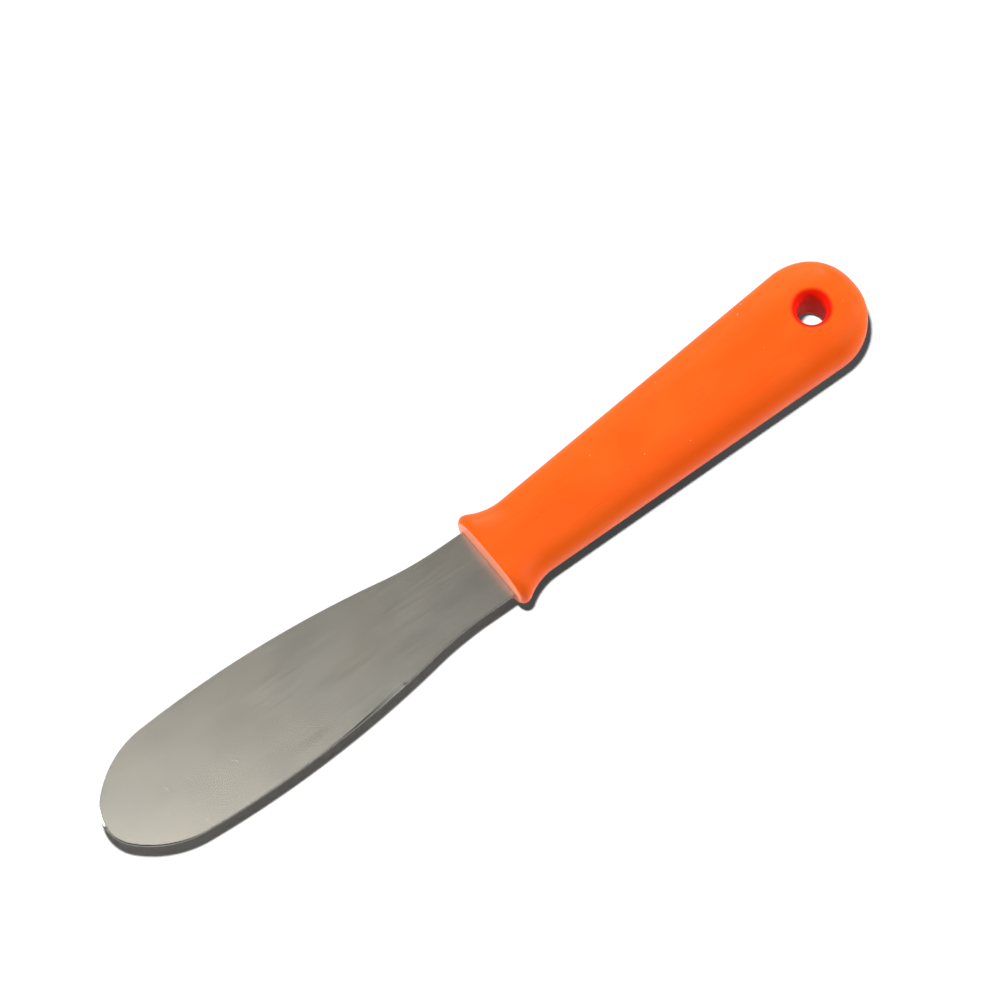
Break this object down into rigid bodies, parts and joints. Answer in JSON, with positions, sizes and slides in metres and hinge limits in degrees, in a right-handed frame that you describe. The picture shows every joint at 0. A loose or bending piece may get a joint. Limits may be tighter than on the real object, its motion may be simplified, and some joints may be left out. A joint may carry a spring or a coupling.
{
  "type": "flexible putty knife",
  "caption": "Putty knife with a thin leaf-shaped flexible steel blade and a moulded plastic handle that has a flared collar, a round butt and a hang hole.",
  "frame": {"origin": "centre of the hang hole, halfway through the handle's thickness", "axes": "+X along the handle's centre line towards its butt, +Y across the handle, +Z along the hang hole, square to the handle's broad faces"},
  "size_m": [0.2154, 0.0323, 0.015],
  "materials": {
    "handle_plastic": "smooth moulded orange plastic with a soft sheen",
    "blade_steel": "satin spring steel, finely brushed, with light handling scratches"
  },
  "bodies": {
    "handle": {"handle": "handle_plastic"},
    "blade": {"blade": "blade_steel"}
  },
  "joints": [
    {"name": "blade_flex", "type": "hinge", "parent": "handle", "child": "blade", "pos_m": [-0.11128, 0.00078, 0], "axis": [0.0489, 0.9988, 0], "range_deg": [-30, 30], "stiffness_Nm_per_rad": 1.7, "deforming": ["blade"]}
  ]
}
